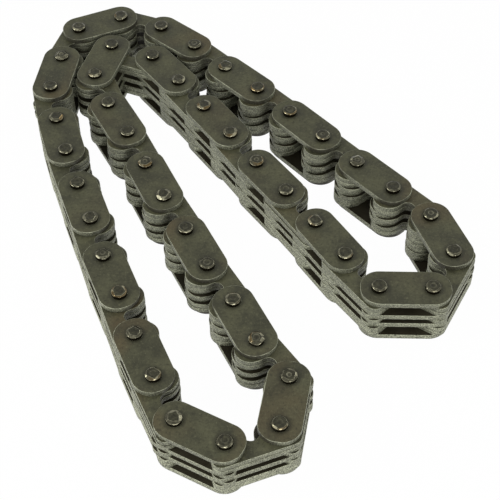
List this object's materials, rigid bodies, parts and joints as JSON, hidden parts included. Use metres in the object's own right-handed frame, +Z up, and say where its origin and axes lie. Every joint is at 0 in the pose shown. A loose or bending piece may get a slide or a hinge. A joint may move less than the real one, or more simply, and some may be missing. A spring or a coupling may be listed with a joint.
{
  "type": "timing chain",
  "caption": "Endless silent timing chain of toothed steel plates on riveted pins, with guide plates outside, lying folded.",
  "frame": {"origin": "on the surface that the lower pin ends stand on, under the middle of the folded chain's plan", "axes": "+Z up along the pins, +Y along the longer side of the plan, from the arms' free ends towards their shared end, +X to the right"},
  "size_m": [0.1132, 0.1538, 0.0157],
  "materials": {
    "guide_plate_steel": "dark oiled steel with brushed, lighter edges",
    "toothed_plate_steel": "stamped steel, oiled, grainy edges",
    "pin_steel": "polished hardened steel under oil"
  },
  "bodies": {
    "guide_link_01": {"guide_link_01_first_pin": "pin_steel", "guide_link_01_lower_guide_plate": "guide_plate_steel", "guide_link_01_second_pin": "pin_steel", "guide_link_01_toothed_plate_1": "toothed_plate_steel", "guide_link_01_toothed_plate_2": "toothed_plate_steel", "guide_link_01_upper_guide_plate": "guide_plate_steel"},
    "inner_link_01": {"inner_link_01": "toothed_plate_steel"},
    "guide_link_02": {"guide_link_02": "guide_plate_steel"},
    "inner_link_02": {"inner_link_02": "toothed_plate_steel"},
    "guide_link_03": {"guide_link_03": "guide_plate_steel"},
    "inner_link_03": {"inner_link_03": "toothed_plate_steel"},
    "guide_link_04": {"guide_link_04": "guide_plate_steel"},
    "inner_link_04": {"inner_link_04": "toothed_plate_steel"},
    "guide_link_05": {"guide_link_05": "guide_plate_steel"},
    "inner_link_05": {"inner_link_05": "toothed_plate_steel"},
    "guide_link_06": {"guide_link_06": "guide_plate_steel"},
    "inner_link_06": {"inner_link_06": "toothed_plate_steel"},
    "guide_link_07": {"guide_link_07": "guide_plate_steel"},
    "inner_link_07": {"inner_link_07": "toothed_plate_steel"},
    "guide_link_08": {"guide_link_08": "guide_plate_steel"},
    "inner_link_08": {"inner_link_08": "toothed_plate_steel"},
    "guide_link_09": {"guide_link_09": "guide_plate_steel"},
    "inner_link_09": {"inner_link_09": "toothed_plate_steel"},
    "guide_link_10": {"guide_link_10": "guide_plate_steel"},
    "inner_link_10": {"inner_link_10": "toothed_plate_steel"},
    "guide_link_11": {"guide_link_11": "guide_plate_steel"},
    "inner_link_11": {"inner_link_11": "toothed_plate_steel"},
    "guide_link_12": {"guide_link_12": "guide_plate_steel"},
    "inner_link_12": {"inner_link_12": "toothed_plate_steel"},
    "guide_link_13": {"guide_link_13": "guide_plate_steel"},
    "inner_link_13": {"inner_link_13": "toothed_plate_steel"},
    "guide_link_14": {"guide_link_14": "guide_plate_steel"},
    "inner_link_14": {"inner_link_14": "toothed_plate_steel"},
    "guide_link_15": {"guide_link_15": "guide_plate_steel"},
    "inner_link_15": {"inner_link_15": "toothed_plate_steel"},
    "guide_link_16": {"guide_link_16": "guide_plate_steel"},
    "inner_link_16": {"inner_link_16": "toothed_plate_steel"},
    "guide_link_17": {"guide_link_17": "guide_plate_steel"},
    "inner_link_17": {"inner_link_17": "toothed_plate_steel"},
    "guide_link_18": {"guide_link_18": "guide_plate_steel"},
    "inner_link_18": {"inner_link_18": "toothed_plate_steel"},
    "guide_link_19": {"guide_link_19": "guide_plate_steel"},
    "inner_link_19": {"inner_link_19": "toothed_plate_steel"},
    "guide_link_20": {"guide_link_20": "guide_plate_steel"},
    "inner_link_20": {"inner_link_20": "toothed_plate_steel"},
    "guide_link_21": {"guide_link_21": "guide_plate_steel"},
    "inner_link_21": {"inner_link_21": "toothed_plate_steel"},
    "guide_link_22": {"guide_link_22": "guide_plate_steel"},
    "inner_link_22": {"inner_link_22": "toothed_plate_steel"},
    "guide_link_23": {"guide_link_23": "guide_plate_steel"},
    "inner_link_23": {"inner_link_23_toothed_plate_1": "toothed_plate_steel", "inner_link_23_toothed_plate_2": "toothed_plate_steel", "inner_link_23_toothed_plate_3": "toothed_plate_steel", "inner_link_23_toothed_plate_4": "toothed_plate_steel", "inner_link_23_toothed_plate_5": "toothed_plate_steel"}
  },
  "joints": [
    {"name": "pin_09_turn", "type": "hinge", "parent": "guide_link_05", "child": "inner_link_05", "pos_m": [-0.03971, 0.04741, 0], "axis": [0, 0, 1], "range_deg": [-10, 0]},
    {"name": "pin_10_turn", "type": "hinge", "parent": "inner_link_05", "child": "guide_link_06", "pos_m": [-0.03536, 0.03547, 0], "axis": [0, 0, 1], "range_deg": [-14.7, 0]},
    {"name": "pin_11_turn", "type": "hinge", "parent": "guide_link_06", "child": "inner_link_06", "pos_m": [-0.0296, 0.02416, 0], "axis": [0, 0, 1], "range_deg": [-14, 14]},
    {"name": "pin_12_turn", "type": "hinge", "parent": "inner_link_06", "child": "guide_link_07", "pos_m": [-0.02443, 0.01256, 0], "axis": [0, 0, 1], "range_deg": [-13, 13]},
    {"name": "left_arm_sway_2", "type": "hinge", "parent": "guide_link_07", "child": "inner_link_07", "pos_m": [-0.01927, 0.00096, 0], "axis": [0, 0, 1], "range_deg": [-12, 12]},
    {"name": "pin_14_turn", "type": "hinge", "parent": "inner_link_07", "child": "guide_link_08", "pos_m": [-0.0135, -0.01036, 0], "axis": [0, 0, 1], "range_deg": [-10.9, 10.9]},
    {"name": "left_arm_sway_3", "type": "hinge", "parent": "guide_link_08", "child": "inner_link_08", "pos_m": [-0.00813, -0.02187, 0], "axis": [0, 0, 1], "range_deg": [-12, 12]},
    {"name": "pin_16_turn", "type": "hinge", "parent": "inner_link_08", "child": "guide_link_09", "pos_m": [-0.00198, -0.03298, 0], "axis": [0, 0, 1], "range_deg": [-11, 11]},
    {"name": "pin_17_turn", "type": "hinge", "parent": "guide_link_09", "child": "inner_link_09", "pos_m": [0.00339, -0.04449, 0], "axis": [0, 0, 1], "range_deg": [-25.6, 25.6]},
    {"name": "pin_18_turn", "type": "hinge", "parent": "inner_link_09", "child": "guide_link_10", "pos_m": [0.01049, -0.05502, 0], "axis": [0, 0, 1], "range_deg": [-29.6, 29.6]},
    {"name": "pin_19_turn", "type": "hinge", "parent": "guide_link_10", "child": "inner_link_10", "pos_m": [0.00807, -0.06748, 0], "axis": [0, 0, 1], "range_deg": [-14.1, 14.1]},
    {"name": "pin_20_turn", "type": "hinge", "parent": "inner_link_10", "child": "guide_link_11", "pos_m": [-0.00386, -0.07183, 0], "axis": [0, 0, 1], "range_deg": [-15, 15]},
    {"name": "left_end_flex", "type": "hinge", "parent": "guide_link_11", "child": "inner_link_11", "pos_m": [-0.01497, -0.06567, 0], "axis": [0, 0, 1], "range_deg": [-30, 30]},
    {"name": "pin_22_turn", "type": "hinge", "parent": "inner_link_11", "child": "guide_link_12", "pos_m": [-0.01993, -0.05398, 0], "axis": [0, 0, 1], "range_deg": [-25.2, 25.2]},
    {"name": "pin_23_turn", "type": "hinge", "parent": "guide_link_12", "child": "inner_link_12", "pos_m": [-0.02469, -0.0422, 0], "axis": [0, 0, 1], "range_deg": [-10.9, 10.9]},
    {"name": "pin_24_turn", "type": "hinge", "parent": "inner_link_12", "child": "guide_link_13", "pos_m": [-0.02883, -0.0302, 0], "axis": [0, 0, 1], "range_deg": [-12, 12]},
    {"name": "pin_25_turn", "type": "hinge", "parent": "guide_link_13", "child": "inner_link_13", "pos_m": [-0.03338, -0.01834, 0], "axis": [0, 0, 1], "range_deg": [-10.9, 10.9]},
    {"name": "pin_26_turn", "type": "hinge", "parent": "inner_link_13", "child": "guide_link_14", "pos_m": [-0.0373, -0.00626, 0], "axis": [0, 0, 1], "range_deg": [-12, 12]},
    {"name": "pin_27_turn", "type": "hinge", "parent": "guide_link_14", "child": "inner_link_14", "pos_m": [-0.04144, 0.00575, 0], "axis": [0, 0, 1], "range_deg": [-13, 13]},
    {"name": "left_arm_sway_1", "type": "hinge", "parent": "inner_link_14", "child": "guide_link_15", "pos_m": [-0.04536, 0.01783, 0], "axis": [0, 0, -1], "range_deg": [-14, 14]},
    {"name": "pin_29_turn", "type": "hinge", "parent": "guide_link_15", "child": "inner_link_15", "pos_m": [-0.04886, 0.03003, 0], "axis": [0, 0, 1], "range_deg": [0, 12.5]},
    {"name": "pin_30_turn", "type": "hinge", "parent": "inner_link_15", "child": "guide_link_16", "pos_m": [-0.0515, 0.04245, 0], "axis": [0, 0, 1], "range_deg": [0, 14.2]},
    {"name": "pin_31_turn", "type": "hinge", "parent": "guide_link_16", "child": "inner_link_16", "pos_m": [-0.04952, 0.055, 0], "axis": [0, 0, 1], "range_deg": [0, 15.9]},
    {"name": "pin_08_turn", "type": "hinge", "parent": "guide_link_05", "child": "inner_link_04", "pos_m": [-0.03578, 0.05949, 0], "axis": [0, 0, 1], "range_deg": [0, 7.4]},
    {"name": "pin_07_turn", "type": "hinge", "parent": "inner_link_04", "child": "guide_link_04", "pos_m": [-0.02409, 0.05452, 0], "axis": [0, 0, 1], "range_deg": [0, 12.2]},
    {"name": "right_arm_sway_1", "type": "hinge", "parent": "guide_link_04", "child": "inner_link_03", "pos_m": [-0.01663, 0.04425, 0], "axis": [0, 0, 1], "range_deg": [-8, 10]},
    {"name": "pin_05_turn", "type": "hinge", "parent": "inner_link_03", "child": "guide_link_03", "pos_m": [-0.00953, 0.03372, 0], "axis": [0, 0, 1], "range_deg": [-8.7, 7]},
    {"name": "right_arm_sway_2", "type": "hinge", "parent": "guide_link_03", "child": "inner_link_02", "pos_m": [-0.00242, 0.02319, 0], "axis": [0, 0, 1], "range_deg": [-10, 10]},
    {"name": "pin_03_turn", "type": "hinge", "parent": "inner_link_02", "child": "guide_link_02", "pos_m": [0.00431, 0.01242, 0], "axis": [0, 0, 1], "range_deg": [-8.9, 8.9]},
    {"name": "right_arm_sway_3", "type": "hinge", "parent": "guide_link_02", "child": "inner_link_01", "pos_m": [0.01159, 0.00202, 0], "axis": [0, 0, 1], "range_deg": [-11, 11]},
    {"name": "pin_01_turn", "type": "hinge", "parent": "inner_link_01", "child": "guide_link_01", "pos_m": [0.01851, -0.00863, 0], "axis": [0, 0, 1], "range_deg": [-10.2, 10.2]},
    {"name": "pin_00_turn", "type": "hinge", "parent": "guide_link_01", "child": "inner_link_23", "pos_m": [0.02524, -0.0194, 0], "axis": [0, 0, 1], "range_deg": [-25.9, 25.9]},
    {"name": "pin_45_turn", "type": "hinge", "parent": "inner_link_23", "child": "guide_link_23", "pos_m": [0.03268, -0.02969, 0], "axis": [0, 0, 1], "range_deg": [-29.5, 29.5]},
    {"name": "pin_44_turn", "type": "hinge", "parent": "guide_link_23", "child": "inner_link_22", "pos_m": [0.04537, -0.0302, 0], "axis": [0, 0, 1], "range_deg": [-11.2, 11.2]},
    {"name": "pin_43_turn", "type": "hinge", "parent": "inner_link_22", "child": "guide_link_22", "pos_m": [0.05153, -0.0191, 0], "axis": [0, 0, 1], "range_deg": [-12.4, 12.4]},
    {"name": "right_end_flex", "type": "hinge", "parent": "guide_link_22", "child": "inner_link_21", "pos_m": [0.04718, -0.00716, 0], "axis": [0, 0, 1], "range_deg": [-30, 30]},
    {"name": "pin_41_turn", "type": "hinge", "parent": "inner_link_21", "child": "guide_link_21", "pos_m": [0.03869, 0.00228, 0], "axis": [0, 0, 1], "range_deg": [-25.3, 25.3]},
    {"name": "pin_40_turn", "type": "hinge", "parent": "guide_link_21", "child": "inner_link_20", "pos_m": [0.03019, 0.01171, 0], "axis": [0, 0, 1], "range_deg": [-9.5, 9.5]},
    {"name": "pin_39_turn", "type": "hinge", "parent": "inner_link_20", "child": "guide_link_20", "pos_m": [0.02186, 0.0213, 0], "axis": [0, 0, 1], "range_deg": [-10.4, 10.4]},
    {"name": "pin_38_turn", "type": "hinge", "parent": "guide_link_20", "child": "inner_link_19", "pos_m": [0.01353, 0.03088, 0], "axis": [0, 0, 1], "range_deg": [-8.1, 8.1]},
    {"name": "pin_37_turn", "type": "hinge", "parent": "inner_link_19", "child": "guide_link_19", "pos_m": [0.00503, 0.04032, 0], "axis": [0, 0, 1], "range_deg": [-9.2, 9.2]},
    {"name": "pin_36_turn", "type": "hinge", "parent": "guide_link_19", "child": "inner_link_18", "pos_m": [-0.0038, 0.04946, 0], "axis": [0, 0, 1], "range_deg": [-6.2, 7.8]},
    {"name": "pin_35_turn", "type": "hinge", "parent": "inner_link_18", "child": "guide_link_18", "pos_m": [-0.01246, 0.05874, 0], "axis": [0, 0, 1], "range_deg": [-9.1, 7.3]},
    {"name": "pin_34_turn", "type": "hinge", "parent": "guide_link_18", "child": "inner_link_17", "pos_m": [-0.02204, 0.06708, 0], "axis": [0, 0, 1], "range_deg": [-16.4, 0]},
    {"name": "arms_spread", "type": "hinge", "parent": "inner_link_17", "child": "guide_link_17", "pos_m": [-0.03382, 0.07183, 0], "axis": [0, 0, -1], "range_deg": [0, 29]}
  ],
  "couplings": [
    {"joint": "pin_07_turn", "follows": "arms_spread", "ratio": 0.4183},
    {"joint": "pin_08_turn", "follows": "arms_spread", "ratio": 0.25197},
    {"joint": "pin_09_turn", "follows": "arms_spread", "ratio": -0.34292},
    {"joint": "pin_10_turn", "follows": "arms_spread", "ratio": -0.50404},
    {"joint": "pin_29_turn", "follows": "arms_spread", "ratio": 0.42981},
    {"joint": "pin_30_turn", "follows": "arms_spread", "ratio": 0.48938},
    {"joint": "pin_31_turn", "follows": "arms_spread", "ratio": 0.54827},
    {"joint": "pin_34_turn", "follows": "arms_spread", "ratio": -0.56534},
    {"joint": "pin_05_turn", "follows": "right_arm_sway_1", "ratio": -0.86686},
    {"joint": "pin_35_turn", "follows": "right_arm_sway_1", "ratio": -0.90802},
    {"joint": "pin_36_turn", "follows": "right_arm_sway_1", "ratio": 0.77487},
    {"joint": "pin_03_turn", "follows": "right_arm_sway_2", "ratio": -0.88516},
    {"joint": "pin_37_turn", "follows": "right_arm_sway_2", "ratio": -0.91653},
    {"joint": "pin_38_turn", "follows": "right_arm_sway_2", "ratio": 0.80169},
    {"joint": "pin_01_turn", "follows": "right_arm_sway_3", "ratio": -0.92025},
    {"joint": "pin_39_turn", "follows": "right_arm_sway_3", "ratio": -0.94197},
    {"joint": "pin_40_turn", "follows": "right_arm_sway_3", "ratio": 0.86222},
    {"joint": "pin_11_turn", "follows": "left_arm_sway_1", "ratio": 0.99849},
    {"joint": "pin_12_turn", "follows": "left_arm_sway_1", "ratio": -0.92597},
    {"joint": "pin_27_turn", "follows": "left_arm_sway_1", "ratio": 0.92748},
    {"joint": "pin_14_turn", "follows": "left_arm_sway_2", "ratio": -0.90703},
    {"joint": "pin_25_turn", "follows": "left_arm_sway_2", "ratio": 0.90531},
    {"joint": "pin_26_turn", "follows": "left_arm_sway_2", "ratio": -0.99828},
    {"joint": "pin_16_turn", "follows": "left_arm_sway_3", "ratio": -0.90992},
    {"joint": "pin_23_turn", "follows": "left_arm_sway_3", "ratio": 0.90415},
    {"joint": "pin_24_turn", "follows": "left_arm_sway_3", "ratio": -0.99423},
    {"joint": "pin_41_turn", "follows": "right_end_flex", "ratio": -0.84037},
    {"joint": "pin_43_turn", "follows": "right_end_flex", "ratio": -0.41092},
    {"joint": "pin_44_turn", "follows": "right_end_flex", "ratio": 0.37129},
    {"joint": "pin_45_turn", "follows": "right_end_flex", "ratio": -0.98292},
    {"joint": "pin_00_turn", "follows": "right_end_flex", "ratio": 0.86292},
    {"joint": "pin_17_turn", "follows": "left_end_flex", "ratio": 0.85254},
    {"joint": "pin_18_turn", "follows": "left_end_flex", "ratio": -0.98499},
    {"joint": "pin_19_turn", "follows": "left_end_flex", "ratio": 0.46971},
    {"joint": "pin_20_turn", "follows": "left_end_flex", "ratio": -0.49978},
    {"joint": "pin_22_turn", "follows": "left_end_flex", "ratio": -0.83748}
  ]
}
